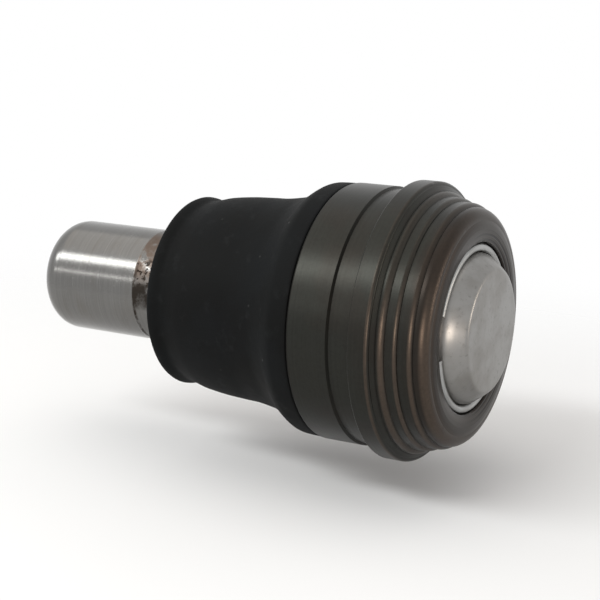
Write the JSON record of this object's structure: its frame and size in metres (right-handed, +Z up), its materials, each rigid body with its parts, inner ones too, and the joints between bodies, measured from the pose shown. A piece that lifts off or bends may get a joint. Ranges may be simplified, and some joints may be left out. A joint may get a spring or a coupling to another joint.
{
  "type": "suspension ball joint",
  "caption": "Press-in suspension ball joint with a flanged steel barrel, a plain pinch stud, a rubber boot and a rolled-in closing cap.",
  "frame": {"origin": "centre of the ball, on the axis of the press barrel", "axes": "+X along the joint's axis towards the closing cap, -X towards the stud's tip, +Z up with the joint lying on its side as pictured, +Y by the right-hand rule"},
  "size_m": [0.0886, 0.0489, 0.0488],
  "materials": {
    "oiled_steel": "dark phosphated and oiled, turned",
    "turned_steel": "bright turned",
    "zinc_steel": "satin stamped",
    "ring_wire": "bright drawn wire",
    "spring_steel": "hardened, dark",
    "insert_steel": "plain",
    "bearing_plastic": "natural acetal",
    "boot_rubber": "matte moulded"
  },
  "bodies": {
    "housing_group": {"housing": "oiled_steel", "seat_stud_side": "bearing_plastic", "seat_cap_side": "bearing_plastic", "preload_spring": "spring_steel", "closing_cap": "zinc_steel", "retaining_ring": "ring_wire", "boot_foot_insert": "insert_steel"},
    "boot_group": {"boot": "boot_rubber"},
    "mouth_group": {"boot_mouth_insert": "insert_steel"},
    "stud_group": {"ball_stud": "turned_steel"}
  },
  "joints": [
    {"name": "swing_up_down", "type": "hinge", "parent": "housing_group", "child": "boot_group", "pos_m": [0, 0, 0], "axis": [0, 1, 0], "range_deg": [-18, 18], "deforming": ["boot"]},
    {"name": "swing_sideways", "type": "hinge", "parent": "boot_group", "child": "mouth_group", "pos_m": [0, 0, 0], "axis": [0, 0, 1], "range_deg": [-18, 18], "deforming": ["boot"]},
    {"name": "stud_spin", "type": "hinge", "parent": "mouth_group", "child": "stud_group", "pos_m": [0, 0, 0], "axis": [1, 0, 0], "continuous": true}
  ]
}
